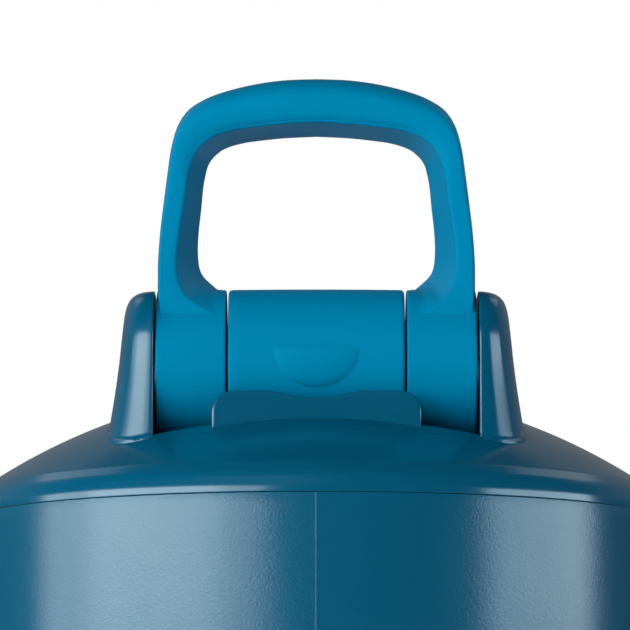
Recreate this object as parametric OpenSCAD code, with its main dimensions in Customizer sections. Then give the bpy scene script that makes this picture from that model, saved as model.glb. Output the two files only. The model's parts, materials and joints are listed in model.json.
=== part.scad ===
// Large water jug: textured body, screw-on domed lid, carry loop and flip cap on one hinge pin.
// Millimetres, +Z up, origin at the centre of the base. The thumb tab faces -Y.

/* [Body] */
// Outside radius of the body and of the lid rim
body_r = 74.3; // [73.5:0.1:75]
// Height of the line where the lid meets the body
joint_z = 172; // [150:1:200]
// Body wall thickness
body_wall = 2.2; // [1.8:0.1:3]

/* [Lid] */
// Height of the dome's apex above the joint line
dome_h = 27.5; // [27:0.1:28]
// Lid wall thickness
lid_wall = 2.4; // [2:0.1:2.6]
// Dark line between the lid and the body
lid_gap = 0.35; // [0.2:0.05:0.5]

/* [Hinge] */
// Height of the hinge axis above the joint line
axis_h = 29; // [28.8:0.1:29.5]
// Radius of the handle cuffs and the cap drum
drum_r = 15.9; // [15.5:0.1:16]
// Diameter of the steel hinge pin
pin_d = 5; // [4:0.1:5.5]
// Radial play of the turning parts on the pin
pin_play = 0.06; // [0.02:0.01:0.1]

/* [Handle] */
// Half the depth of the carry loop, front to back
loop_half = 11.8; // [11:0.1:12]

/* [Spout] */
// Bore radius of the drinking spout
spout_bore = 8.5; // [8:0.1:9]

/* [Hidden] */
$fn = 96;
eps = 0.01;
axis_y = -33;
axis_z = joint_z + axis_h;
dome_r = 130;
dome_c = joint_z + dome_h - dome_r;
pocket_r = 17.6;
pocket_x = 33.6;
cuff_in = 18.7;
cuff_out = 33.2;
drum_half = 18.3;
guard_x = 21.5;
guard_top = joint_z + 22.6;
guard_y = -52.6;
neck_r = 50;
neck_top = joint_z + 6;
pitch = 4;
thread_h = 2;
collar_in = neck_r + thread_h + 0.6;
flange_z = neck_top + 1.4;
spout_y = -0.5;
spout_r = 11;
spout_top = joint_z + 35.5;
flange_top = joint_z + 22.3;
cap_r = 13.6;

teal = [0.01, 0.30, 0.40];
blue = [0.01, 0.42, 0.62];
silicone = [0.80, 0.84, 0.86];
steel = [0.72, 0.73, 0.75];

// ---- shared helpers ----

// Cylinder along X between x0 and x1, centred on the hinge axis
module axis_cyl(r, x0, x1) {
    translate([x0, axis_y, axis_z]) rotate([0, 90, 0]) cylinder(r = r, h = x1 - x0);
}

// Extrudes a (y, z) outline along X from x0 to x1
module along_x(x0, x1) {
    translate([x0, 0, 0]) rotate([90, 0, 90]) linear_extrude(height = x1 - x0) children();
}

// Extrudes an (x, z) outline along -Y from y1 back to y0
module along_y(y0, y1) {
    translate([0, y1, 0]) rotate([90, 0, 0]) linear_extrude(height = y1 - y0) children();
}

module tube(r_out, r_in, z0, z1) {
    translate([0, 0, z0]) difference() {
        cylinder(r = r_out, h = z1 - z0);
        translate([0, 0, -1]) cylinder(r = r_in, h = z1 - z0 + 2);
    }
}

module mirror_x() {
    children();
    mirror([1, 0, 0]) children();
}

// Triangles that close a lofted strip of sections, each with n points
function loft_sides(count, n) = [
    for (i = [0 : count - 2], j = [0 : n - 1], k = [0, 1])
        k == 0 ? [i * n + j, i * n + (j + 1) % n, (i + 1) * n + j]
               : [i * n + (j + 1) % n, (i + 1) * n + (j + 1) % n, (i + 1) * n + j]
];
function loft_ends(count, n) = [
    for (j = [1 : n - 2], k = [0, 1])
        k == 0 ? [0, j + 1, j] : [(count - 1) * n, (count - 1) * n + j, (count - 1) * n + j + 1]
];

// One helical thread: a ridge on radius r, dir +1 points outward and -1 inward
module thread(r, dir, z0, turns) {
    steps = 40 * turns;
    base = 0.8;
    tip = 0.35;
    section = [[-0.4, -base], [thread_h, -tip], [thread_h, tip], [-0.4, base]];
    points = [
        for (i = [0 : steps], p = section)
            let (a = i * 9, grow = min(1, i / 4, (steps - i) / 4),
                 rr = r + dir * (p[0] > 0 ? p[0] * max(grow, 0.05) : p[0]))
                [rr * cos(a), rr * sin(a), z0 + pitch * a / 360 + p[1]]
    ];
    sides = loft_sides(steps + 1, 4);
    ends = loft_ends(steps + 1, 4);
    faces = concat(sides, ends);
    polyhedron(points, dir > 0 ? faces : [for (f = faces) [f[2], f[1], f[0]]]);
}

// ---- body ----

module body_outer() {
    rotate_extrude() polygon([
        [0, 0], [63, 0], [67.5, 0.9], [71, 3.3], [body_r - 0.4, 7], [body_r, 11],
        [body_r, joint_z - 0.6], [body_r - 0.6, joint_z], [67, joint_z], [65.6, joint_z - 4],
        [57.4, joint_z - 4], [neck_r + 1.2, joint_z - 3.4], [neck_r, joint_z - 2],
        [neck_r, neck_top], [0, neck_top]
    ]);
}

module body_inner() {
    rotate_extrude() polygon([
        [0, 6.2], [40, 4.2], [60, body_wall + 1], [65.6, body_wall + 2], [69.6, 6.8],
        [body_r - body_wall, 12], [body_r - body_wall, joint_z - 11],
        [body_r - body_wall - 5, joint_z - 6.2], [55.6, joint_z - 6.2],
        [neck_r - 2.4, joint_z - 3], [neck_r - 2.4, neck_top + 1], [0, neck_top + 1]
    ]);
}

module jug_body() {
    color(teal) {
        difference() {
            body_outer();
            body_inner();
            translate([0, 0, -1]) cylinder(r = 48, h = 2);
        }
        thread(neck_r, 1, joint_z - 0.5, 1.25);
    }
}

// ---- lid ----

module dome_solid(inset) {
    intersection() {
        translate([0, 0, dome_c]) sphere(r = dome_r - inset, $fn = 180);
        translate([0, 0, joint_z]) cylinder(r = body_r - inset, h = 60);
    }
}

// Outside of the lid without its ears: dome, bevelled strip and rounded rim
module lid_outer() {
    intersection() {
        translate([0, 0, dome_c]) sphere(r = dome_r, $fn = 180);
        rotate_extrude() polygon([
            [0, joint_z + lid_gap], [body_r - 0.3, joint_z + lid_gap],
            [body_r, joint_z + lid_gap + 0.3], [body_r - 0.05, joint_z + 1.2],
            [body_r - 0.25, joint_z + 2.1], [body_r - 0.65, joint_z + 3],
            [body_r - 1.2, joint_z + 3.85], [body_r - 2.7, joint_z + 5.5],
            [body_r - 2.7, joint_z + 60], [0, joint_z + 60]
        ]);
    }
}

// Side outline of an ear: round shoulders over the hinge, spreading slightly down to the dome
module ear_side() {
    half = drum_r - 0.1;
    shoulder = 10.8;
    for (s = [-1, 1])
        translate([axis_y + s * (half - shoulder), axis_z + half - shoulder]) circle(r = shoulder);
    polygon([
        [axis_y - half + shoulder, axis_z + half], [axis_y + half - shoulder, axis_z + half],
        [axis_y + half, axis_z + half - shoulder], [axis_y + half, axis_z],
        [axis_y + half + 2.2, joint_z + 9], [axis_y - half - 2.2, joint_z + 9],
        [axis_y - half, axis_z], [axis_y - half, axis_z + half - shoulder]
    ]);
}

// Front outline of an ear: straight inside, drafted outside, rounded over the top corner
module ear_front() {
    polygon([
        [pocket_x, axis_z + 18], [34.8, axis_z + 15.9], [36.7, axis_z + 15.4],
        [38.3, axis_z + 14], [39.3, axis_z + 12.3], [39.8, axis_z + 10.2],
        [40.5, axis_z + 5.2], [41.3, axis_z - 2.3], [42.5, axis_z - 12],
        [43.4, axis_z - 15.5], [44, axis_z - 20], [pocket_x, axis_z - 20]
    ]);
}

module ear() {
    intersection() {
        along_x(pocket_x, 45) ear_side();
        along_y(-60, 0) ear_front();
        translate([0, 0, joint_z + 9.5]) cylinder(r = 69, h = 60);
    }
}

// Room for the drum and cuffs: round about the axis, open above and towards the front crest
module pocket(grow) {
    axis_cyl(pocket_r + grow, -pocket_x - grow, pocket_x + grow);
    intersection() {
        translate([-pocket_x - grow, -60, axis_z - drum_r - 0.9 - grow])
            cube([2 * (pocket_x + grow), 27, 60]);
        translate([0, guard_y + 136, joint_z]) cylinder(r = 136 + grow, h = 80, $fn = 180);
    }
    translate([-pocket_x - grow, axis_y, axis_z])
        cube([2 * (pocket_x + grow), pocket_r + grow, 40]);
}

// Upright plate in front of the drum, with a scoop for the thumb
module guard() {
    corner = 4;
    difference() {
        along_y(guard_y, guard_y + 2.2) {
            translate([-guard_x, joint_z + 11]) square([2 * guard_x, guard_top - joint_z - 11 - corner]);
            translate([-guard_x + corner, joint_z + 11])
                square([2 * (guard_x - corner), guard_top - joint_z - 11]);
            translate([-guard_x + corner, guard_top - corner]) circle(r = corner);
            translate([guard_x - corner, guard_top - corner]) circle(r = corner);
        }
        translate([0, guard_y - 1, guard_top + 17.4]) rotate([-90, 0, 0])
            cylinder(r = 19.5, h = 5);
    }
}

module lid_shell() {
    color(teal) difference() {
        union() {
            difference() {
                lid_outer();
                intersection() {
                    dome_solid(lid_wall);
                    translate([0, 0, joint_z - 1]) cylinder(r = body_r - 3.4, h = 60);
                }
                translate([0, 0, joint_z - 1]) cylinder(r = body_r - 3.4, h = 3);
            }
            intersection() {
                pocket(2);
                dome_solid(1);
                translate([0, 0, joint_z + 9.4]) cylinder(r = 66, h = 40);
            }
            intersection() {
                dome_solid(1);
                tube(61, 58.6, flange_z + 1.8, joint_z + 40);
            }
            translate([0, spout_y, flange_top]) cylinder(r = 15.6, h = 4);
            mirror_x() ear();
        }
        pocket(0);
        translate([0, spout_y, joint_z]) cylinder(r = spout_r + 0.05, h = 60);
        axis_cyl(pin_d / 2 + pin_play, -60, 60);
        mirror_x() axis_cyl(4.5, 38, 60);
    }
    color(teal) guard();
}

// Threaded ring welded under the dome
module lid_insert() {
    color(teal) {
        tube(61, 45.2, flange_z, flange_z + 1.8);
        tube(collar_in + 2.4, collar_in, joint_z - 3.2, flange_z + 0.2);
        translate([0, 0, 2.0]) thread(collar_in, -1, joint_z - 0.5, 1.25);
    }
}

module lid_gasket() {
    color(silicone) tube(neck_r + 0.2, neck_r - 3.4, neck_top, flange_z);
}

// ---- spout ----

module drink_spout() {
    color(teal) translate([0, spout_y, 0]) difference() {
        rotate_extrude() polygon([
            [0, flange_top - 1.8], [14, flange_top - 1.8], [14, flange_top],
            [spout_r, flange_top], [spout_r, spout_top - 1], [spout_r - 0.8, spout_top],
            [0, spout_top]
        ]);
        translate([0, 0, joint_z]) cylinder(r = spout_bore, h = 60);
        tube(spout_r + 1, spout_r - 1.1, joint_z + 24, joint_z + 25.6);
    }
}

module spout_o_ring() {
    color(silicone) translate([0, spout_y, joint_z + 24.8]) rotate_extrude()
        translate([spout_r - 0.35, 0]) circle(r = 0.7, $fn = 32);
}

// ---- hinge ----

module hinge_pin() {
    color(steel) axis_cyl(pin_d / 2, -38, 38);
}

module washer(x0) {
    color(steel) difference() {
        axis_cyl(9, x0, x0 + 0.34);
        axis_cyl(pin_d / 2 + pin_play, x0 - 1, x0 + 2);
    }
}

module washer_left() {
    washer(-pocket_x + 0.03);
}

module washer_right() {
    washer(pocket_x - 0.37);
}

module pin_plug(side) {
    color(teal) mirror([side < 0 ? 1 : 0, 0, 0]) axis_cyl(4.45, 38.02, 40.5);
}

module pin_plug_left() {
    pin_plug(-1);
}

module pin_plug_right() {
    pin_plug(1);
}

// ---- flip cap ----

// Half-moon tab: a low pad whose flat ledge faces up and whose lower edge is an arc
module thumb_tab() {
    intersection() {
        axis_cyl(drum_r + 1.1, -9, 9);
        translate([0, axis_y - 8, axis_z + 3.8]) rotate([90, 0, 0]) cylinder(r = 8.7, h = 12);
        translate([-10, axis_y - 22, axis_z - 8]) cube([20, 14, 11.8]);
    }
}

module cap_arm() {
    reach = spout_y - axis_y;
    along_x(-12.5, 12.5) polygon([
        [axis_y, axis_z + 1], [axis_y + 12, axis_z + 1], [spout_y - 13, axis_z + 1],
        [spout_y - 8, axis_z + 7], [spout_y, axis_z + 7], [spout_y, axis_z + 9.4],
        [axis_y + 14, axis_z + 11.6], [axis_y + 6, axis_z + 14], [axis_y, axis_z + 14]
    ]);
    translate([0, spout_y, 0]) tube(cap_r, 0, axis_z + 7, axis_z + 9.4);
    translate([0, spout_y, 0]) tube(cap_r, cap_r - 1.6, axis_z + 1, axis_z + 8);
    translate([-6, spout_y + cap_r - 2, axis_z + 7.4]) cube([12, 3, 2]);
}

module flip_cap() {
    color(blue) difference() {
        union() {
            axis_cyl(drum_r, -drum_half, drum_half);
            thumb_tab();
            difference() {
                cap_arm();
                translate([0, spout_y, axis_z]) cylinder(r = cap_r - 1.6, h = 7);
            }
        }
        axis_cyl(pin_d / 2 + pin_play, -40, 40);
    }
}

// Silicone stopper that closes the spout bore
module cap_plug() {
    color(silicone) translate([0, spout_y, axis_z]) rotate_extrude() polygon([
        [0, 2.6], [spout_bore - 1.5, 2.6], [spout_bore - 0.5, 4.6], [spout_bore - 0.4, 6.9],
        [cap_r - 2.2, 6.9], [cap_r - 2.2, 7], [0, 7]
    ]);
}

// ---- carry handle ----

// Half of the loop in stations from the top centre down to the cuff, about the hinge axis.
// Each row: outer edge, front outer edge, front inner edge and inner edge as (x, z) pairs.
loop_rows = [
    [[0, 60.3], [0, 54.6], [0, 50.1], [0, 48.4]],
    [[7.2, 60], [7, 54.3], [6.6, 49.7], [6.4, 48.1]],
    [[14.2, 58.9], [13.6, 53.5], [13, 49], [12, 47.6]],
    [[20.7, 57.1], [19.6, 52.2], [18, 48.2], [16.7, 46.7]],
    [[24.7, 55.2], [23.8, 50.8], [21.2, 47.1], [19.6, 45.6]],
    [[27.3, 53.1], [26.6, 49.2], [23.6, 45.4], [21.4, 44.2]],
    [[29.2, 49.8], [28.6, 46.6], [25.4, 43.2], [22.6, 42.5]],
    [[30.4, 45.4], [29.7, 42.9], [26.4, 40.6], [23.2, 40.4]],
    [[31.1, 40.6], [30.3, 38.8], [27, 37.6], [23.7, 37.6]],
    [[31.9, 34.2], [31, 33.4], [27.6, 33], [24.1, 33.2]],
    [[32.5, 29], [31.7, 28.8], [28.3, 28.6], [24.6, 28.6]],
    [[32.9, 24.4], [32.1, 24.4], [28.9, 24.4], [24.8, 24.4]],
    [[33.1, 20.6], [32.3, 20.2], [29.2, 19.6], [24.5, 20.6]],
    [[33.1, 17.6], [32.3, 16.4], [28.5, 15.6], [23.5, 18.4]],
    [[33.1, 14.6], [32.3, 13.8], [26.6, 13.1], [21.6, 16.9]],
    [[33.1, 12], [32.3, 11.4], [24, 11.4], [19.2, 15.6]],
    [[33.1, 7], [32.3, 7], [22, 7], [19.2, 7]]
];

// Closed section of one station: the widest points lie at mid-depth
function loop_section(row, s) = [
    [s * row[0][0], 0, row[0][1]],
    let (m = row[0] * 0.86 + row[1] * 0.14) [s * m[0], -0.5 * loop_half, m[1]],
    let (m = row[0] * 0.46 + row[1] * 0.54) [s * m[0], -0.86 * loop_half, m[1]],
    [s * row[1][0], -loop_half, row[1][1]],
    [s * row[2][0], -loop_half, row[2][1]],
    [s * row[3][0], 0, row[3][1]],
    [s * row[2][0], loop_half, row[2][1]],
    [s * row[1][0], loop_half, row[1][1]],
    let (m = row[0] * 0.46 + row[1] * 0.54) [s * m[0], 0.86 * loop_half, m[1]],
    let (m = row[0] * 0.86 + row[1] * 0.14) [s * m[0], 0.5 * loop_half, m[1]]
];

module carry_loop() {
    last = len(loop_rows) - 1;
    order = concat([for (i = [last : -1 : 0]) [i, -1]], [for (i = [1 : last]) [i, 1]]);
    points = [for (o = order, p = loop_section(loop_rows[o[0]], o[1])) p];
    faces = concat(loft_sides(len(order), 10), loft_ends(len(order), 10));
    translate([0, axis_y, axis_z]) polyhedron(points, [for (f = faces) [f[2], f[1], f[0]]]);
}

module carry_handle() {
    color(blue) difference() {
        union() {
            carry_loop();
            mirror_x() axis_cyl(drum_r, cuff_in, cuff_out);
        }
        axis_cyl(pin_d / 2 + pin_play, -40, 40);
    }
}

jug_body();
lid_shell();
lid_insert();
lid_gasket();
drink_spout();
spout_o_ring();
flip_cap();
cap_plug();
carry_handle();
hinge_pin();
washer_left();
washer_right();
pin_plug_left();
pin_plug_right();
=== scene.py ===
"""Large water jug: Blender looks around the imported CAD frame. Metres, +Z up, thumb tab towards -Y."""

import json
import math

import bmesh
import bpy
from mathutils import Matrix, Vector


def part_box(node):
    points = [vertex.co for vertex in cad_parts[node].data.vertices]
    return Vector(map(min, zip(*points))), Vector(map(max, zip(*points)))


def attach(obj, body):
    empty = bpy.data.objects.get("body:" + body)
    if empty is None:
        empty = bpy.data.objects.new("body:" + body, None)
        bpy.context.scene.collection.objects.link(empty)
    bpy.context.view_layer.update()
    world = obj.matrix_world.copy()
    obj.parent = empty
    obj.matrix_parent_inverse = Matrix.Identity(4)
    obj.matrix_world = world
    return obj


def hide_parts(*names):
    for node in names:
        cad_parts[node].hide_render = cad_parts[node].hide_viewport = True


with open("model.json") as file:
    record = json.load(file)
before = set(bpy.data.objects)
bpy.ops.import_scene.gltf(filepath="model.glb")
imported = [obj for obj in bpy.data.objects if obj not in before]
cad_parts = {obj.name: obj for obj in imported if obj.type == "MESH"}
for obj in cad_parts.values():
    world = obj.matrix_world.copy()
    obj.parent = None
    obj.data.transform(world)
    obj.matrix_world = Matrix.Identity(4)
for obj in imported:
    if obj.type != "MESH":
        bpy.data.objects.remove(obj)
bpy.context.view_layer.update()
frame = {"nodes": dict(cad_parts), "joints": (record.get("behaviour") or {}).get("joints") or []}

MM = 0.001
NECK_R = 50 * MM
THREAD_PITCH = 4 * MM
joints = {j["name"]: j for j in frame["joints"]}

# ---- driving sizes, from the frame ----

body_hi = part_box("jug_body")[1]
lid_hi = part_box("lid_shell")[1]
spout_lo, spout_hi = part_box("drink_spout")

BODY_R = round(lid_hi.x, 5)
NECK_RISE = 6 * MM  # the neck's rim above the lid's joint plane
JOINT_Z = body_hi.z - NECK_RISE
AXIS_Y = joints["cap_flip"]["pos_m"][1]
AXIS_Z = joints["cap_flip"]["pos_m"][2]
DRUM_R = 15.9 * MM
PIN_BORE = 2.56 * MM
PLUG_BORE = 4.47 * MM
SPOUT_Y = (spout_lo.y + spout_hi.y) / 2
DOME_R = 130 * MM
DOME_H = 27.5 * MM
DOME_C = JOINT_Z + DOME_H - DOME_R
POCKET_X = 33.6 * MM
POCKET_R = 17.6 * MM
JOINT_DROP = 0.82 * MM  # the joint line lies this far below the CAD joint plane
JOINT_GAP = 0.09 * MM
LID_LIP = 3.4 * MM
GUARD_Y = -52.6 * MM
GUARD_X = 21.5 * MM
GUARD_TOP = JOINT_Z + 21.85 * MM
LOOP_HALF = 11.8 * MM
ON_AXIS = 0.01 * MM  # the radius at which a revolved outline counts as closed on its axis
RING = 384


# ---- mesh helpers ----


def new_object(name, verts, faces, smooth=True):
    """Mesh object with doubled points merged and its faces turned outwards."""
    mesh = bpy.data.meshes.new(name)
    mesh.from_pydata([tuple(v) for v in verts], [], faces)
    mesh.validate()
    bm = bmesh.new()
    bm.from_mesh(mesh)
    bmesh.ops.remove_doubles(bm, verts=bm.verts, dist=2e-7)
    bmesh.ops.recalc_face_normals(bm, faces=bm.faces)
    bm.to_mesh(mesh)
    bm.free()
    obj = bpy.data.objects.new(name, mesh)
    bpy.context.scene.collection.objects.link(obj)
    if smooth:
        mesh.polygons.foreach_set("use_smooth", [True] * len(mesh.polygons))
    return obj


def grid_faces(rows, cols, wrap_rows=False, wrap_cols=False):
    """Quads over a rows x cols grid of vertices, in row-major order."""
    faces = []
    for i in range(rows if wrap_rows else rows - 1):
        for j in range(cols if wrap_cols else cols - 1):
            a, b = i * cols, (i + 1) % rows * cols
            k = (j + 1) % cols
            faces.append((a + j, a + k, b + k, b + j))
    return faces


def revolve(name, profile, axis="z", centre=(0, 0), angles=RING, radius=None):
    """Solid of revolution of a closed (radius, height) outline. radius(angle, r, h) may change r."""
    turns = [2 * math.pi * i / angles for i in range(angles)] if isinstance(angles, int) else angles
    verts = []
    for a in turns:
        for r, h in profile:
            rr = radius(a, r, h) if radius else r
            u, v = rr * math.cos(a), rr * math.sin(a)
            if axis == "z":
                verts.append((centre[0] + u, centre[1] + v, h))
            else:
                verts.append((h, centre[0] + u, centre[1] + v))
    return new_object(name, verts, grid_faces(len(turns), len(profile), True, True))


def arc(cx, cy, r, start, end, steps):
    """Points on an arc, angles in degrees."""
    return [
        (
            cx + r * math.cos(math.radians(start + (end - start) * i / steps)),
            cy + r * math.sin(math.radians(start + (end - start) * i / steps)),
        )
        for i in range(steps + 1)
    ]


def disc_outline(radius, low, high):
    """Closed outline of a plain disc between two heights."""
    return [(ON_AXIS, low), (radius, low), (radius, high), (ON_AXIS, high)]


def barrel_outline(x0, x1, edge, steps):
    """Closed outline of the hinge barrel between x0 and x1, with a pin bore and rounded end edges."""
    chamfer, face = 0.2 * MM, 9 * MM
    quarter = [math.pi / 2 * i / 6 for i in range(7)]
    length = x1 - x0 - 2 * edge
    pts = [(PIN_BORE, x0 + chamfer), (PIN_BORE + chamfer, x0), (face, x0)]
    for a in quarter:
        pts.append((DRUM_R - edge + edge * math.sin(a), x0 + edge - edge * math.cos(a)))
    pts += [(DRUM_R, x0 + edge + length * i / steps) for i in range(1, steps)]
    for a in quarter:
        pts.append((DRUM_R - edge + edge * math.cos(a), x1 - edge + edge * math.sin(a)))
    pts += [(face, x1), (PIN_BORE + chamfer, x1), (PIN_BORE, x1 - chamfer)]
    return pts


def smooth_path(points, per_span):
    """Catmull-Rom curve through points of any dimension, per_span steps in each span."""
    out = []
    n = len(points)
    for i in range(n - 1):
        p = [points[max(i - 1, 0)], points[i], points[i + 1], points[min(i + 2, n - 1)]]
        for s in range(per_span):
            t = s / per_span
            out.append(
                tuple(
                    0.5
                    * (
                        2 * b
                        + (c - a) * t
                        + (2 * a - 5 * b + 4 * c - d) * t * t
                        + (3 * b - a - 3 * c + d) * t**3
                    )
                    for a, b, c, d in zip(*p)
                )
            )
    out.append(tuple(points[-1]))
    return out


def extrude_outline(name, outline, place, depth):
    """Closed solid from a flat outline; place(u, v, w) gives the 3-D point at depth w."""
    n = len(outline)
    verts = [place(u, v, w) for w in depth for u, v in outline]
    faces = [(i, (i + 1) % n, n + (i + 1) % n, n + i) for i in range(n)]
    faces += [tuple(range(n))[::-1], tuple(range(n, 2 * n))]
    return new_object(name, verts, faces, smooth=False)


def combine(target, tool, operation):
    """Applies an exact boolean to target, removes the tool and returns target."""
    mod = target.modifiers.new("bool", "BOOLEAN")
    mod.operation = operation
    mod.solver = "EXACT"
    mod.object = tool
    graph = bpy.context.evaluated_depsgraph_get()
    mesh = bpy.data.meshes.new_from_object(target.evaluated_get(graph))
    target.modifiers.clear()
    old = target.data
    target.data = mesh
    bpy.data.meshes.remove(old)
    bpy.data.objects.remove(tool)
    return target


def shade_by_angle(obj, degrees):
    """Smooth shading that keeps edges sharper than this angle."""
    mesh = obj.data
    mesh.polygons.foreach_set("use_smooth", [True] * len(mesh.polygons))
    mesh.set_sharp_from_angle(angle=math.radians(degrees))


def bevel(obj, width, degrees):
    """Rounds the edges sharper than this angle."""
    mod = obj.modifiers.new("edges", "BEVEL")
    mod.width = width
    mod.segments = 3
    mod.limit_method = "ANGLE"
    mod.angle_limit = math.radians(degrees)


def finish_piece(obj, body, slot, material, *nodes):
    """Gives the piece its material and its body, and hides the CAD nodes it stands for. slot is not used.
    """
    obj.data.materials.clear()
    obj.data.materials.append(material)
    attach(obj, body)
    if nodes:
        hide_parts(*nodes)


# ---- materials ----


def plastic(
    name,
    colour,
    roughness,
    peel,
    peel_size,
    vary=0.06,
    spread=0.05,
    sheen=(1, 1, 1),
    level=0.5,
):
    """Moulded plastic. peel and peel_size set the surface grain's strength and fineness, vary the colour
    drift, spread the unevenness of the gloss, and sheen and level the tint and strength of reflections."""
    mat = bpy.data.materials.new(name)
    mat.use_nodes = True
    nt = mat.node_tree
    shader = nt.nodes["Principled BSDF"]
    coords = nt.nodes.new("ShaderNodeTexCoord")

    def noise(scale, detail, rough):
        node = nt.nodes.new("ShaderNodeTexNoise")
        node.inputs["Scale"].default_value = scale
        node.inputs["Detail"].default_value = detail
        node.inputs["Roughness"].default_value = rough
        nt.links.new(coords.outputs["Object"], node.inputs["Vector"])
        return node

    cloud = noise(14, 0, 0.5)
    tint = nt.nodes.new("ShaderNodeMix")
    tint.data_type = "RGBA"
    dark = [c * (1 - vary) for c in colour]
    light = [min(1, c * (1 + vary)) for c in colour]
    tint.inputs["A"].default_value = (*dark, 1)
    tint.inputs["B"].default_value = (*light, 1)
    nt.links.new(cloud.outputs["Fac"], tint.inputs["Factor"])
    nt.links.new(tint.outputs["Result"], shader.inputs["Base Color"])

    smear = noise(60, 3, 0.5)
    gloss = nt.nodes.new("ShaderNodeMapRange")
    gloss.inputs["From Min"].default_value = 0.1
    gloss.inputs["From Max"].default_value = 0.9
    gloss.inputs["To Min"].default_value = max(0.02, roughness - spread)
    gloss.inputs["To Max"].default_value = roughness + spread
    nt.links.new(smear.outputs["Fac"], gloss.inputs["Value"])
    nt.links.new(gloss.outputs["Result"], shader.inputs["Roughness"])

    grain = noise(peel_size, 2, 0.45)
    bump = nt.nodes.new("ShaderNodeBump")
    bump.inputs["Strength"].default_value = peel
    bump.inputs["Distance"].default_value = 0.1 * MM
    nt.links.new(grain.outputs["Fac"], bump.inputs["Height"])
    nt.links.new(bump.outputs["Normal"], shader.inputs["Normal"])
    shader.inputs["IOR"].default_value = 1.5
    shader.inputs["Specular IOR Level"].default_value = level
    shader.inputs["Specular Tint"].default_value = (*sheen, 1)
    return mat


def brushed_steel(name):
    """Drawn steel: fine lines along X and uneven gloss."""
    mat = bpy.data.materials.new(name)
    mat.use_nodes = True
    nt = mat.node_tree
    shader = nt.nodes["Principled BSDF"]
    shader.inputs["Metallic"].default_value = 1
    coords = nt.nodes.new("ShaderNodeTexCoord")
    stretch = nt.nodes.new("ShaderNodeMapping")
    stretch.inputs["Scale"].default_value = (60, 2500, 2500)
    lines = nt.nodes.new("ShaderNodeTexNoise")
    lines.inputs["Scale"].default_value = 1
    lines.inputs["Detail"].default_value = 4
    nt.links.new(coords.outputs["Object"], stretch.inputs["Vector"])
    nt.links.new(stretch.outputs["Vector"], lines.inputs["Vector"])
    ramp = nt.nodes.new("ShaderNodeValToRGB")
    ramp.color_ramp.elements[0].color = (0.48, 0.49, 0.50, 1)
    ramp.color_ramp.elements[1].color = (0.74, 0.74, 0.73, 1)
    nt.links.new(lines.outputs["Fac"], ramp.inputs["Fac"])
    nt.links.new(ramp.outputs["Color"], shader.inputs["Base Color"])
    gloss = nt.nodes.new("ShaderNodeMapRange")
    gloss.inputs["To Min"].default_value = 0.29
    gloss.inputs["To Max"].default_value = 0.42
    nt.links.new(lines.outputs["Fac"], gloss.inputs["Value"])
    nt.links.new(gloss.outputs["Result"], shader.inputs["Roughness"])
    bump = nt.nodes.new("ShaderNodeBump")
    bump.inputs["Strength"].default_value = 0.25
    bump.inputs["Distance"].default_value = 0.02 * MM
    nt.links.new(lines.outputs["Fac"], bump.inputs["Height"])
    nt.links.new(bump.outputs["Normal"], shader.inputs["Normal"])
    return mat


TEAL = (0.0, 0.068, 0.132)
TEAL_SHEEN = (0.82, 0.98, 1)
BLUE_SHEEN = (0.02, 0.7, 0.9)
BODY_TEAL = plastic("body_teal", TEAL, 0.235, 0.34, 2000, vary=0.02, spread=0.03, sheen=TEAL_SHEEN)
LID_TEAL = plastic("lid_teal", TEAL, 0.18, 0.04, 260, spread=0.03, sheen=TEAL_SHEEN)
BLUE = plastic("satin_blue", (0.0, 0.165, 0.31), 0.45, 0.12, 1500, sheen=BLUE_SHEEN, level=0.12)
INNER_TEAL = plastic("inner_teal", (0.0, 0.055, 0.10), 0.4, 0.15, 900)
SILICONE = plastic("silicone", (0.24, 0.30, 0.32), 0.55, 0.2, 1200, vary=0.03)
STEEL = brushed_steel("steel")


# ---- body ----


def body_outline():
    """Closed (radius, height) outline of the bottle wall, outside then inside."""
    r, z, neck = BODY_R, JOINT_Z, NECK_R
    wall, heel, neck_wall, chamfer = 2.2 * MM, 11 * MM, 2.4 * MM, 0.4 * MM
    top, edge = z - JOINT_DROP, 0.12 * MM
    rim = z + NECK_RISE
    outside = [(48 * MM, 1 * MM), (48 * MM, 0.3 * MM), (48.4 * MM, 0)]
    outside += [(56 * MM, 0), (63 * MM, 0)]
    outside += arc(r - heel, heel, heel, -84, 0, 14)
    outside += [(r, heel + (top - edge - heel) * i / 60) for i in range(1, 61)]
    outside += arc(r - edge, top - edge, edge, 18, 90, 4)
    outside += [(67.2 * MM, top), (66.8 * MM, top - 0.3 * MM), (65.6 * MM, z - 4 * MM)]
    outside += [(57.4 * MM, z - 4 * MM), (51.2 * MM, z - 3.4 * MM), (neck, z - 2 * MM)]
    outside += [(neck, rim - chamfer), (neck - chamfer, rim)]
    inside = [(neck - neck_wall + chamfer, rim), (neck - neck_wall, rim - chamfer)]
    inside += [(neck - neck_wall, z - 3 * MM), (55.6 * MM, z - 6.2 * MM)]
    inside += [(r - wall - 5 * MM, z - 6.4 * MM), (r - wall, z - 11 * MM)]
    inside += [(r - wall, 12 * MM), (69.6 * MM, 6.8 * MM), (65.6 * MM, 4.2 * MM)]
    inside += [(60 * MM, 3.2 * MM), (40 * MM, 4.2 * MM), (4 * MM, 6.2 * MM), (ON_AXIS, 6.2 * MM)]
    return outside + inside + [(ON_AXIS, 1 * MM)]


def seam_angles():
    """Even turns, with fine steps either side of the parting line at the front and back."""
    even = [2 * math.pi * i / RING for i in range(RING)]
    fine = [math.radians(d) for d in (-0.24, -0.16, -0.11, -0.06, 0.06, 0.11, 0.16, 0.24)]
    extra = [c + f for c in (math.pi / 2, 3 * math.pi / 2) for f in fine]
    return sorted(even + extra)


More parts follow.
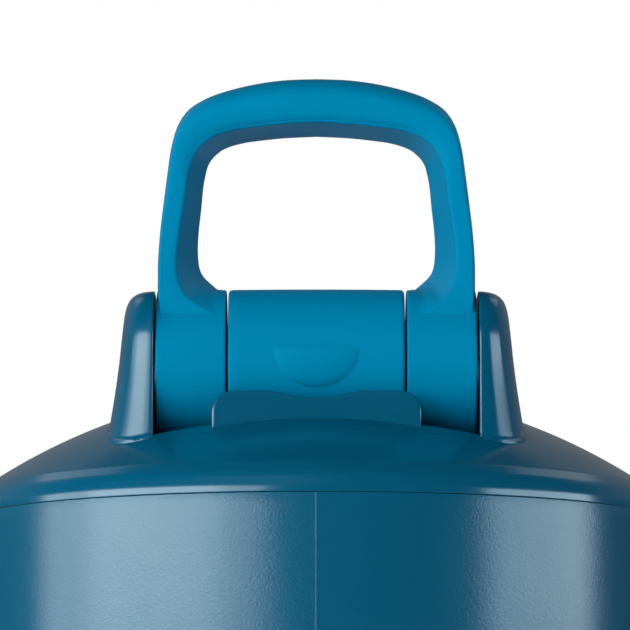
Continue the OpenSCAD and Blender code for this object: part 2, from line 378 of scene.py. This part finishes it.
def seam_radius(angle, r, h):
    """Parting line: a hairline ridge on a very low crown, down the front and back of the wall."""
    away = min(abs(angle - math.pi / 2), abs(angle - 3 * math.pi / 2)) * BODY_R
    top = JOINT_Z - JOINT_DROP - 0.1 * MM
    if r <= BODY_R - 1.2 * MM or not 1 * MM < h < top:
        return r
    hairline = 0.035 * MM * math.exp(-((away / (0.15 * MM)) ** 2))
    crown = 0.07 * MM * math.exp(-away / (3 * MM))
    return r + hairline + crown


def helix_ridge(name, radius, z0, turns, pitch):
    """One screw thread, swept as a rounded trapezoid that fades in and out at its ends."""
    per_turn, fade_steps = 72, 8
    steps = int(per_turn * turns)
    lower = [(-0.3, -0.8), (1.2, -0.6), (1.85, -0.4), (2.0, -0.2)]
    section = lower + [(u, -v) for u, v in reversed(lower)]
    verts = []
    for i in range(steps + 1):
        a = 2 * math.pi * i / per_turn
        rise = pitch * i / per_turn
        grow = max(0.05, min(1, i / fade_steps, (steps - i) / fade_steps))
        for u, v in section:
            reach = u * grow if u > 0 else u
            rr = radius + reach * MM
            verts.append((rr * math.cos(a), rr * math.sin(a), z0 + rise + v * MM))
    faces = grid_faces(steps + 1, len(section), False, True)
    n = len(section)
    faces += [tuple(range(n)), tuple(range(steps * n, steps * n + n))[::-1]]
    return new_object(name, verts, faces)


def build_body():
    """Bottle wall with its parting line, and the thread on its neck."""
    wall = revolve("jug_wall", body_outline(), angles=seam_angles(), radius=seam_radius)
    shade_by_angle(wall, 40)
    finish_piece(wall, "jug", "body_teal", BODY_TEAL, "jug_body")
    ridge = helix_ridge("neck_thread", NECK_R, JOINT_Z - 0.5 * MM, 1.25, THREAD_PITCH)
    finish_piece(ridge, "jug", "body_teal", BODY_TEAL)


# ---- lid ----


def dome_z(r, inset=0.0):
    """Height of the dome's surface at a radius."""
    return DOME_C + math.sqrt((DOME_R - inset) ** 2 - r * r)


def lid_outline():
    """Closed outline of the lid shell: rim, bevelled strip and dome, then the hollow underside."""
    z, r = JOINT_Z, BODY_R
    line = z - JOINT_DROP
    out = [(r - LID_LIP, line + JOINT_GAP), (r - 0.2 * MM, line + JOINT_GAP)]
    out += [(r - 0.06 * MM, line + 0.12 * MM), (r - 0.01 * MM, line + 0.18 * MM)]
    out += [(r, line + 0.28 * MM)]
    rim = [(0, -0.1), (-0.01, 0.4), (-0.04, 0.8), (-0.1, 1.15), (-0.18, 1.5), (-0.28, 1.9), (-0.36, 2.2)]
    rim += [(-0.44, 2.55), (-0.65, 3.0), (-0.9, 3.42), (-1.14, 3.78), (-1.24, 3.9), (-1.35, 4.02)]
    rim += [(-2.5, 5.28), (-2.62, 5.4)]
    out += [(r + a * MM, z + b * MM) for a, b in rim]
    # the dome sinks a little outside the shoulder radius, so that it meets the strip without a step
    edge, shoulder, steps = r - 2.75 * MM, 30 * MM, 120
    drop = dome_z(edge) - (z + 5.51 * MM)
    for i in range(steps):
        at = edge * (1 - i / steps)
        out.append((at, dome_z(at) - drop * (max(0, at - shoulder) / (edge - shoulder)) ** 2))
    out += [(ON_AXIS, dome_z(0))]
    wall = 2.4 * MM
    inner = r - LID_LIP - 2.2 * MM
    out += [(ON_AXIS, dome_z(0, wall))]
    out += [(inner * i / 40, dome_z(inner * i / 40, wall)) for i in range(1, 41)]
    out += [(r - LID_LIP, z + 3 * MM)]
    return out


def pocket_outline(grow):
    """Side outline of the room for the drum: a round bottom about the axis, open at the top."""
    r = POCKET_R + grow
    clear = 0.9 * MM
    drop = DRUM_R + clear + grow
    floor = AXIS_Z - drop
    side = math.degrees(math.asin(drop / r))
    top, front = AXIS_Z + 40 * MM, -60 * MM
    pts = [(AXIS_Y + r, top)]
    pts += arc(AXIS_Y, AXIS_Z, r, 0, -(180 - side), 60)
    pts += [(front, floor), (front, top)]
    return pts


def pocket_solid(name, grow):
    """The pocket as a solid: its side outline across the lid, cut at the bowed front wall."""
    half = POCKET_X + grow
    solid = extrude_outline(name, pocket_outline(grow), lambda u, v, w: (w, u, v), (-half, half))
    bow = 136 * MM
    reach = math.degrees(math.asin((half + 2 * MM) / bow))
    front = arc(0, GUARD_Y + bow, bow + grow, -90 - reach, -90 + reach, 30)
    outline = front + [(60 * MM, 40 * MM), (-60 * MM, 40 * MM)]
    limit = extrude_outline(name + "_limit", outline, lambda u, v, w: (u, v, w), (0.1, 0.3))
    return combine(solid, limit, "INTERSECT")


def tub_solid():
    """Walls round the pocket: the pocket grown by its wall, kept just under the dome."""
    tub = pocket_solid("tub", 2 * MM)
    rim, base, sunk = 64 * MM, JOINT_Z + 9.4 * MM, 0.6 * MM
    profile = [(ON_AXIS, base), (rim, base)]
    profile += [(rim * (1 - i / 40), dome_z(rim * (1 - i / 40), sunk)) for i in range(40)]
    profile += [(ON_AXIS, dome_z(0, sunk))]
    under = revolve("under_dome", profile, angles=192)
    return combine(tub, under, "INTERSECT")


def weld_rib():
    """Ring under the dome that the threaded insert is welded to, open where the pocket passes."""
    inner, outer, low, sunk = 58.6 * MM, 61 * MM, JOINT_Z + 9.2 * MM, 1.2 * MM
    outline = [(inner, low), (outer, low), (outer, dome_z(outer, sunk)), (inner, dome_z(inner, sunk))]
    rib = revolve("weld_rib", outline, angles=192)
    combine(rib, pocket_solid("rib_cut", -0.01 * MM), "DIFFERENCE")
    shade_by_angle(rib, 30)
    finish_piece(rib, "lid", "lid_teal", LID_TEAL)


def build_lid():
    """Dome with its pocket, spout boss and spout hole, then the rib, the guard and the ears."""
    shell = revolve("lid_dome", lid_outline())
    combine(shell, tub_solid(), "UNION")
    boss_r, hole_r = 15.6 * MM, 11.05 * MM
    boss_outline = disc_outline(boss_r, JOINT_Z + 22.3 * MM, JOINT_Z + 26 * MM)
    combine(shell, revolve("boss", boss_outline, centre=(0, SPOUT_Y), angles=96), "UNION")
    combine(shell, pocket_solid("pocket", 0), "DIFFERENCE")
    hole_outline = disc_outline(hole_r, JOINT_Z, JOINT_Z + 60 * MM)
    combine(shell, revolve("hole", hole_outline, centre=(0, SPOUT_Y), angles=96), "DIFFERENCE")
    shade_by_angle(shell, 24)
    finish_piece(shell, "lid", "lid_teal", LID_TEAL, "lid_shell")
    weld_rib()
    build_guard()
    for side, name in ((-1, "ear_left"), (1, "ear_right")):
        build_ear(name, side)


def guard_outline():
    """Front outline of the guard plate: rounded top corners and a shallow scoop in the middle."""
    corner = 4.2 * MM
    base = JOINT_Z + 10 * MM
    left = [(-GUARD_X, base), (-GUARD_X, GUARD_TOP - corner)]
    left += arc(-GUARD_X + corner, GUARD_TOP - corner, corner, 180, 90, 12)[1:]
    scoop_half, scoop_deep, steps = 9.5 * MM, 1.45 * MM, 40
    scoop = []
    for i in range(steps + 1):
        along = 2 * i / steps - 1
        sink = scoop_deep * (0.5 + 0.5 * math.cos(math.pi * along)) ** 0.6
        scoop.append((scoop_half * along, GUARD_TOP - sink))
    right = [(-x, z) for x, z in reversed(left)]
    return left + scoop + right


def build_guard():
    """Plate with softly rounded edges, made as inset copies of its outline."""
    outline = guard_outline()
    n = len(outline)
    thick, edge = 2.2 * MM, 0.35 * MM
    # each layer is how far its outline is inset, and its depth behind the guard's front
    layers = [(edge * 2, 0.0), (edge, 0.0), (edge * 0.3, edge * 0.3), (0.0, edge), (0.0, thick - edge)]
    layers += [(edge * 0.3, thick - edge * 0.3), (edge, thick), (edge * 2, thick)]

    def inset(i, distance):
        before, here, after = (Vector(outline[k % n]) for k in (i - 1, i, i + 1))
        going_in = (here - before).normalized() if here != before else (after - here).normalized()
        going_out = (after - here).normalized() if after != here else going_in
        normal = Vector((going_in.y + going_out.y, -(going_in.x + going_out.x)))
        return here + normal.normalized() * distance

    verts = []
    for distance, depth in layers:
        for i in range(n):
            p = inset(i, distance)
            verts.append((p.x, GUARD_Y + depth, p.y))
    faces = grid_faces(len(layers), n, False, True)
    faces += [tuple(range(n))[::-1], tuple(range((len(layers) - 1) * n, len(layers) * n))]
    guard = new_object("thumb_guard", verts, faces)
    shade_by_angle(guard, 50)
    finish_piece(guard, "lid", "lid_teal", LID_TEAL)


# Width of an ear at heights above the hinge axis, in mm, from its drafted and rounded front outline.
EAR_WIDTHS = [(14.95, 0.3), (14.93, 1.5), (14.84, 2.8), (14.5, 4), (13.8, 4.95), (12.7, 5.7), (10.4, 6.35)]
EAR_WIDTHS += [(5.6, 6.92), (-0.4, 7.55), (-6.7, 8.4), (-12.9, 9.4), (-16, 9.9), (-19.5, 10.4)]


def ear_half_depth(height):
    """Half of an ear's depth at a height above the axis: round shoulders above, a flare below."""
    half, shoulder, top, spread = 15.8, 9.95, 14.95, 0.5
    if height > top - shoulder:
        rise = min(height - (top - shoulder), shoulder)
        return half - shoulder + math.sqrt(shoulder**2 - rise**2)
    return half + spread * (max(0.0, -height) / 19.5) ** 1.5


def ear_section(width, depth):
    """Half a level section as (out, back) points from the inner front corner to the middle of the flank:
    a small front edge, then a convex front that runs into the flank."""
    edge = min(0.45, width * 0.4)
    half = [(0.0, edge + 0.5)]
    for i in range(5):
        a = math.pi / 10 * i
        half.append((edge * (1 - math.cos(a)), edge * (1 - math.sin(a))))
    # front and flank are one curve, (out / width) squared plus (rest of the depth) cubed makes 1:
    # even steps of an angle along the front, then even steps back along the flank
    steps = 14
    turn = math.asin(0.75)
    start = math.asin(edge / width)
    for i in range(steps + 1):
        t = start + (turn - start) * i / steps
        half.append((width * math.sin(t), depth * (1 - math.cos(t) ** (2 / 3))))
    reach = half[-1][1] / depth
    for i in range(1, steps + 1):
        v = reach + (1 - reach) * i / steps
        half.append((width * math.sqrt(1 - (1 - v) ** 3), depth * v))
    return half


def build_ear(name, side):
    """Hinge ear: a lens-shaped upright with rounded shoulders, filleted into the dome and drilled."""
    fillet, off_wall = 0.6 * MM, 0.02
    rows = smooth_path(EAR_WIDTHS, 6)
    # finer rows near the dome, where the fillet needs them
    low = [r for r in rows if r[0] < -5]
    rows = [r for r in rows if r[0] >= -5] + smooth_path(low[::3] + [low[-1]], 6)
    verts, count = [], 0
    for height, width in rows:
        depth = ear_half_depth(height)
        half = ear_section(width, depth)
        ring = half + [(u, 2 * depth - v) for u, v in reversed(half[:-1])]
        count = len(ring)
        for u, v in ring:
            x = POCKET_X + (u + off_wall) * MM
            y = AXIS_Y + (v - depth) * MM
            z = AXIS_Z + height * MM
            lift = z - dome_z(math.hypot(x, y))
            if u > 0.4 and lift < fillet:
                short = min(fillet, fillet - lift)
                flare = fillet - math.sqrt(fillet**2 - short**2)
                away = Vector((u, (v - depth) * width**2 / depth**2)).normalized()
                x, y = x + away.x * flare, y + away.y * flare
            verts.append((side * x, y, z))
    faces = grid_faces(len(rows), count, False, True)
    faces += [tuple(range(count)), tuple(range((len(rows) - 1) * count, len(rows) * count))[::-1]]
    ear = new_object(name, verts, faces)
    for radius, x0, x1 in ((PIN_BORE, 33, 38.6), (PLUG_BORE, 38.02, 46)):
        low_x, high_x = sorted((side * x0 * MM, side * x1 * MM))
        outline = disc_outline(radius, low_x, high_x)
        drill = revolve("drill", outline, axis="x", centre=(AXIS_Y, AXIS_Z), angles=96)
        combine(ear, drill, "DIFFERENCE")
    shade_by_angle(ear, 40)
    finish_piece(ear, "lid", "lid_teal", LID_TEAL)


# ---- carry handle ----

# Half the loop from its top centre down into the cuff, in mm about the hinge axis:
# outer edge, front outer edge, front inner edge and inner edge as x, z pairs.
LOOP_ROWS = [
    (0, 60.3, 0, 54.6, 0, 50.1, 0, 48.4),
    (7.2, 60, 7, 54.3, 6.6, 49.7, 6.4, 48.1),
    (14.2, 58.9, 13.6, 53.5, 13, 49, 12, 47.6),
    (20.7, 57.1, 19.6, 52.2, 18, 48.2, 16.7, 46.7),
    (24.7, 55.2, 23.8, 50.8, 21.2, 47.1, 19.6, 45.6),
    (27.3, 53.1, 26.6, 49.2, 23.6, 45.4, 21.4, 44.2),
    (29.2, 49.8, 28.6, 46.6, 25.4, 43.2, 22.6, 42.5),
    (30.4, 45.4, 29.7, 42.9, 26.4, 40.6, 23.2, 40.4),
    (31.1, 40.6, 30.3, 38.8, 27, 37.6, 23.7, 37.6),
    (31.9, 34.2, 31, 33.4, 27.6, 33, 24.1, 33.2),
    (32.5, 29, 31.7, 28.8, 28.3, 28.6, 24.6, 28.6),
    (32.9, 24.4, 32.1, 24.4, 28.9, 24.4, 24.8, 24.4),
    (33.1, 20.6, 32.3, 20.2, 29.2, 19.6, 24.5, 20.8),
    (33.1, 17.6, 32.3, 16.4, 28.4, 15.6, 23.6, 18.7),
    (33.1, 14.6, 32.3, 13.8, 26.6, 12.8, 22.0, 17.2),
    (33.1, 12, 32.3, 11.4, 23.6, 10.9, 20.6, 16.1),
    (33.1, 9, 32.3, 9, 21, 9.4, 19.7, 15.4),
    (33.1, 6, 32.3, 6, 20, 6, 19.4, 8),
]


def drape(point, depth):
    """Lifts a point of the loop's inner wall so that the wall runs into the cuff with a fillet."""
    cuff = DRUM_R / MM
    blend = 1.4 * min(1, max(0, (point.x - 20.4) / 3))
    if point.y < 9 or blend == 0:
        return point, depth
    out = math.hypot(depth, point.y)
    lifted = (out + cuff + math.sqrt((out - cuff) ** 2 + blend**2)) / 2 - 0.05
    return Vector((point.x, point.y * lifted / out)), depth * lifted / out


def loop_section(row, side):
    """Points round one station: soft outer shoulder, flat face, crisp inner edge, sloped inner wall."""
    outer, shoulder, crisp, inner = (Vector((row[i], row[i + 1])) for i in (0, 2, 4, 6))
    near_cuff = min(1, max(0, (24 - shoulder.y) / 12))
    flat = LOOP_HALF / MM + 0.9 * near_cuff**2 * (3 - 2 * near_cuff)
    half = []
    for i in range(13):
        a = math.pi / 2 * i / 12
        depth = flat * math.sin(a) ** 0.92
        half.append((shoulder + (outer - shoulder) * math.cos(a) ** 0.95, depth))
    roll = 0.1 + 1.2 * (crisp - shoulder).normalized().y ** 2
    for t in (0.2, 0.4, 0.6, 0.8):
        half.append((shoulder.lerp(crisp, t), flat + roll * (0.6 * t - 1.6 * t * t)))
    flat -= roll
    across = (crisp - shoulder).normalized()
    down = (inner - crisp) / flat
    for back, drop in ((0.4, 0.0), (0.18, 0.05), (0.05, 0.18), (0.0, 0.4)):
        half.append((crisp - across * back + down * drop, flat - drop))
    for k in (0.12, 0.25, 0.38, 0.5, 0.62, 0.75, 0.88, 1.0):
        half.append(drape(crisp.lerp(inner, k), flat * (1 - k)))
    loop = half + [(p, -d) for p, d in reversed(half[1:-1])]
    return [(side * p.x * MM, AXIS_Y - d * MM, AXIS_Z + p.y * MM) for p, d in loop]


def build_handle():
    """Loop swept through its rows from one cuff to the other, joined to its two cuffs."""
    rows = smooth_path(LOOP_ROWS, 5)
    verts = []
    for row in reversed(rows):
        verts += loop_section(row, -1)
    for row in rows[1:]:
        verts += loop_section(row, 1)
    count = len(loop_section(rows[0], 1))
    stations = len(verts) // count
    faces = grid_faces(stations, count, False, True)
    faces += [tuple(range(count))[::-1], tuple(range((stations - 1) * count, stations * count))]
    loop = new_object("carry_loop", verts, faces)
    cuff_inner, cuff_outer = 18.7 * MM, 33.2 * MM
    for side in (-1, 1):
        x0, x1 = sorted((side * cuff_inner, side * cuff_outer))
        outline = barrel_outline(x0, x1, 0.5 * MM, 16)
        cuff = revolve("cuff", outline, axis="x", centre=(AXIS_Y, AXIS_Z), angles=192)
        combine(loop, cuff, "UNION")
    shade_by_angle(loop, 32)
    finish_piece(loop, "handle", "blue", BLUE, "carry_handle")


# ---- flip cap ----

DRUM_HALF = 18.3 * MM
TAB_TOP = 1.95 * MM
TAB_HALF = 8.7 * MM
TAB_DROP = 7.9 * MM
TAB_OUT = 1.1 * MM


def tab_rise(angle, x):
    """How far the half-moon tab stands proud of the drum: a domed pad cut flat along its top."""
    height = DRUM_R * math.sin(angle)
    if math.cos(angle) > 0:
        return 0.0
    below = (TAB_TOP - height) / TAB_DROP
    if below < 0:
        return 0.0
    span = (x / TAB_HALF) ** 2 + below**2
    return TAB_OUT * (1 - span) ** 0.62 if span < 1 else 0.0


def build_drum():
    """Drum on a fine grid so that the tab is part of its surface."""
    ledge = math.pi - math.asin(TAB_TOP / DRUM_R)
    angles = [2 * math.pi * i / 360 for i in range(360)]
    # two close columns keep the tab's flat top edge sharp
    angles = sorted(set(angles + [ledge - 0.0004, ledge + 0.0004]))

    def swell(a, r, x):
        if r < DRUM_R - 1e-7:
            return r
        crown = 0.12 * MM * (1 - (x / DRUM_HALF) ** 2)
        return r + crown + tab_rise(a, x)

    outline = barrel_outline(-DRUM_HALF, DRUM_HALF, 0.8 * MM, 130)
    return revolve(
        "flip_drum", outline, axis="x", centre=(AXIS_Y, AXIS_Z), angles=angles, radius=swell
    )


def arm_outline():
    """Side view of the cap's arm, from inside the drum back to the middle of the spout."""
    under, hollow, top = AXIS_Z + 1.2 * MM, AXIS_Z + 7 * MM, AXIS_Z + 9.35 * MM
    return [
        (AXIS_Y + 2 * MM, under),
        (SPOUT_Y - 13 * MM, under),
        (SPOUT_Y - 12.2 * MM, AXIS_Z + 1.6 * MM),
        (SPOUT_Y - 8 * MM, hollow),
        (SPOUT_Y, hollow),
        (SPOUT_Y, top),
        (SPOUT_Y - 6 * MM, AXIS_Z + 9.7 * MM),
        (AXIS_Y + 20 * MM, AXIS_Z + 10.5 * MM),
        (AXIS_Y + 14 * MM, AXIS_Z + 11.6 * MM),
        (AXIS_Y + 9 * MM, AXIS_Z + 12.8 * MM),
        (AXIS_Y + 2 * MM, AXIS_Z + 13.4 * MM),
    ]


def build_cap():
    """Drum with the arm, and the hollow disc that holds the plug over the spout."""
    drum = build_drum()
    arm_half = 12.2 * MM
    arm = extrude_outline("arm", arm_outline(), lambda u, v, w: (w, u, v), (-arm_half, arm_half))
    bevel(arm, 0.8 * MM, 50)
    combine(drum, arm, "UNION")

    r, wall, corner, chamfer = 13.6 * MM, 1.6 * MM, 1.2 * MM, 0.3 * MM
    low, hollow, top = AXIS_Z + 1 * MM, AXIS_Z + 7 * MM, AXIS_Z + 9.4 * MM
    disc = [(r - wall, low + chamfer), (r - wall + chamfer, low)]
    disc += [(r - chamfer, low), (r, low + chamfer), (r, top - corner)]
    disc += arc(r - corner, top - corner, corner, 15, 90, 6)
    disc += [(ON_AXIS, top), (ON_AXIS, hollow), (r - wall, hollow)]
    combine(drum, revolve("disc", disc, centre=(0, SPOUT_Y), angles=128), "UNION")

    # the cut for the plug is a hair inside the disc's own hollow
    slack = 0.01 * MM
    well = disc_outline(r - wall - slack, low - 2 * MM, hollow - slack)
    combine(drum, revolve("well", well, centre=(0, SPOUT_Y), angles=128), "DIFFERENCE")
    shade_by_angle(drum, 32)
    finish_piece(drum, "cap", "blue", BLUE, "flip_cap")


# ---- CAD parts that keep their shape ----


def dress_cad():
    """Materials for the pieces whose CAD shape is right as it is."""
    looks = {
        "lid_insert": INNER_TEAL,
        "lid_gasket": SILICONE,
        "drink_spout": INNER_TEAL,
        "spout_o_ring": SILICONE,
        "cap_plug": SILICONE,
        "hinge_pin": STEEL,
        "washer_left": STEEL,
        "washer_right": STEEL,
        "pin_plug_left": LID_TEAL,
        "pin_plug_right": LID_TEAL,
    }
    for node, material in looks.items():
        obj = frame["nodes"][node]
        obj.data.materials.clear()
        obj.data.materials.append(material)
        for slot in obj.material_slots:
            slot.material = material


# ---- studio ----


WHITE = (1.0, 1.0, 1.0)


def area_light(name, place, aim, size, power, colour=WHITE):
    """Rectangular softbox, width by height, that the camera does not see."""
    data = bpy.data.lights.new(name, "AREA")
    data.shape = "RECTANGLE"
    data.size, data.size_y = size
    data.energy = power
    data.color = colour
    obj = bpy.data.objects.new(name, data)
    obj.location = place
    obj.rotation_euler = (Vector(aim) - Vector(place)).to_track_quat("-Z", "Y").to_euler()
    obj.visible_camera = False
    bpy.context.scene.collection.objects.link(obj)
    return obj


def build_world():
    """Plain white to the camera. Other rays see a dim room with a soft pale band behind the object."""
    world = bpy.data.worlds.new("studio")
    bpy.context.scene.world = world
    world.use_nodes = True
    nt = world.node_tree
    nt.nodes.clear()
    out = nt.nodes.new("ShaderNodeOutputWorld")
    coords = nt.nodes.new("ShaderNodeTexCoord")
    split = nt.nodes.new("ShaderNodeSeparateXYZ")
    nt.links.new(coords.outputs["Generated"], split.inputs["Vector"])

    def math_node(operation, first, second):
        node = nt.nodes.new("ShaderNodeMath")
        node.operation = operation
        for socket, value in zip(node.inputs, (first, second)):
            if isinstance(value, (int, float)):
                socket.default_value = value
            else:
                nt.links.new(value, socket)
        return node.outputs["Value"]

    def fade(value, low, high, start, end):
        node = nt.nodes.new("ShaderNodeMapRange")
        node.interpolation_type = "SMOOTHSTEP"
        for name, number in zip(("From Min", "From Max", "To Min", "To Max"), (low, high, start, end)):
            node.inputs[name].default_value = number
        nt.links.new(value, node.inputs["Value"])
        return node.outputs["Result"]

    # the band is between above_floor and below_top, and its top edge rises towards the sides
    sideways = math_node("ABSOLUTE", split.outputs["X"], 0)
    height = math_node("SUBTRACT", split.outputs["Z"], math_node("MULTIPLY", sideways, 0.35))
    behind = fade(split.outputs["Y"], 0.1, 0.5, 0, 0.24)
    above_floor = fade(split.outputs["Z"], 0.02, 0.22, 0, 1)
    below_top = fade(height, 0.50, 0.60, 1, 0)
    wall = math_node("MULTIPLY", math_node("MULTIPLY", behind, above_floor), below_top)
    lit = nt.nodes.new("ShaderNodeBackground")
    nt.links.new(math_node("ADD", wall, 0.03), lit.inputs["Strength"])
    plain = nt.nodes.new("ShaderNodeBackground")
    plain.inputs["Color"].default_value = (1, 1, 1, 1)
    plain.inputs["Strength"].default_value = 1.0
    path = nt.nodes.new("ShaderNodeLightPath")
    mix = nt.nodes.new("ShaderNodeMixShader")
    nt.links.new(path.outputs["Is Camera Ray"], mix.inputs["Fac"])
    nt.links.new(lit.outputs["Background"], mix.inputs[1])
    nt.links.new(plain.outputs["Background"], mix.inputs[2])
    nt.links.new(mix.outputs["Shader"], out.inputs["Surface"])


def build_floor():
    """Pale paper floor that the camera sees fade into the white surroundings away from the object."""
    half = 4
    corners = [(-half, -half, 0), (half, -half, 0), (half, half, 0), (-half, half, 0)]
    floor = new_object("floor", corners, [(0, 1, 2, 3)], smooth=False)
    mat = plastic("floor_paper", (0.72, 0.72, 0.72), 0.7, 0.1, 300, vary=0.01)
    nt = mat.node_tree
    coords = nt.nodes.new("ShaderNodeTexCoord")
    away = nt.nodes.new("ShaderNodeVectorMath")
    away.operation = "LENGTH"
    nt.links.new(coords.outputs["Object"], away.inputs[0])
    fade = nt.nodes.new("ShaderNodeMapRange")
    fade.interpolation_type = "SMOOTHSTEP"
    fade.inputs["From Min"].default_value = 0.3
    fade.inputs["From Max"].default_value = 1.0
    nt.links.new(away.outputs["Value"], fade.inputs["Value"])
    path = nt.nodes.new("ShaderNodeLightPath")
    seen = nt.nodes.new("ShaderNodeMath")
    seen.operation = "MULTIPLY"
    nt.links.new(fade.outputs["Result"], seen.inputs[0])
    nt.links.new(path.outputs["Is Camera Ray"], seen.inputs[1])
    white = nt.nodes.new("ShaderNodeEmission")
    mix = nt.nodes.new("ShaderNodeMixShader")
    nt.links.new(seen.outputs["Value"], mix.inputs["Fac"])
    nt.links.new(nt.nodes["Principled BSDF"].outputs["BSDF"], mix.inputs[1])
    nt.links.new(white.outputs["Emission"], mix.inputs[2])
    nt.links.new(mix.outputs["Shader"], nt.nodes["Material Output"].inputs["Surface"])
    floor.data.materials.append(mat)


def build_camera():
    """The jug's top from a little below the rim, as a crop of a level product shot."""
    distance, below_joint, tilt = 1.18, 0.097, 6.8
    data = bpy.data.cameras.new("camera")
    data.sensor_width = 36
    data.lens = 315.8
    data.clip_start, data.clip_end = 0.05, 50
    cam = bpy.data.objects.new("camera", data)
    cam.location = (-0.0003, -distance, JOINT_Z - below_joint)
    cam.rotation_euler = (math.radians(90 + tilt), 0, 0)
    bpy.context.scene.collection.objects.link(cam)
    bpy.context.scene.camera = cam


def build_studio():
    """World, floor, camera and softboxes: long ones at both sides, panels behind and two plain fills."""
    build_world()
    build_floor()
    build_camera()
    middle = (0, 0, 0.18)
    cool = (0.80, 0.90, 1.0)
    area_light("left_wide", (-0.72, -0.47, 0.26), middle, (1.5, 0.24), 5.8)
    area_light("left_core", (-0.69, -0.52, 0.26), middle, (0.75, 0.24), 2.2)
    area_light("right_softbox", (0.92, -0.22, 0.26), middle, (0.75, 0.24), 3.9, cool)
    for side in (-1, 1):
        area_light("rim_panel", (0.63 * side, 0.57, 1.03), middle, (0.4, 0.4), 0.35)
    # these two light the colours and leave no reflection
    front = area_light("front_softbox", (-0.42, -1.12, 0.80), (0, 0, 0.2), (0.9, 0.6), 12)
    back = area_light("back_fill", (0.4, 1.3, 0.55), (0, 0, 0.15), (1.0, 0.7), 7)
    for fill in (front, back):
        fill.visible_glossy = False
    bpy.context.scene.view_settings.view_transform = "Standard"


build_body()
build_lid()
build_handle()
build_cap()
dress_cad()
build_studio()
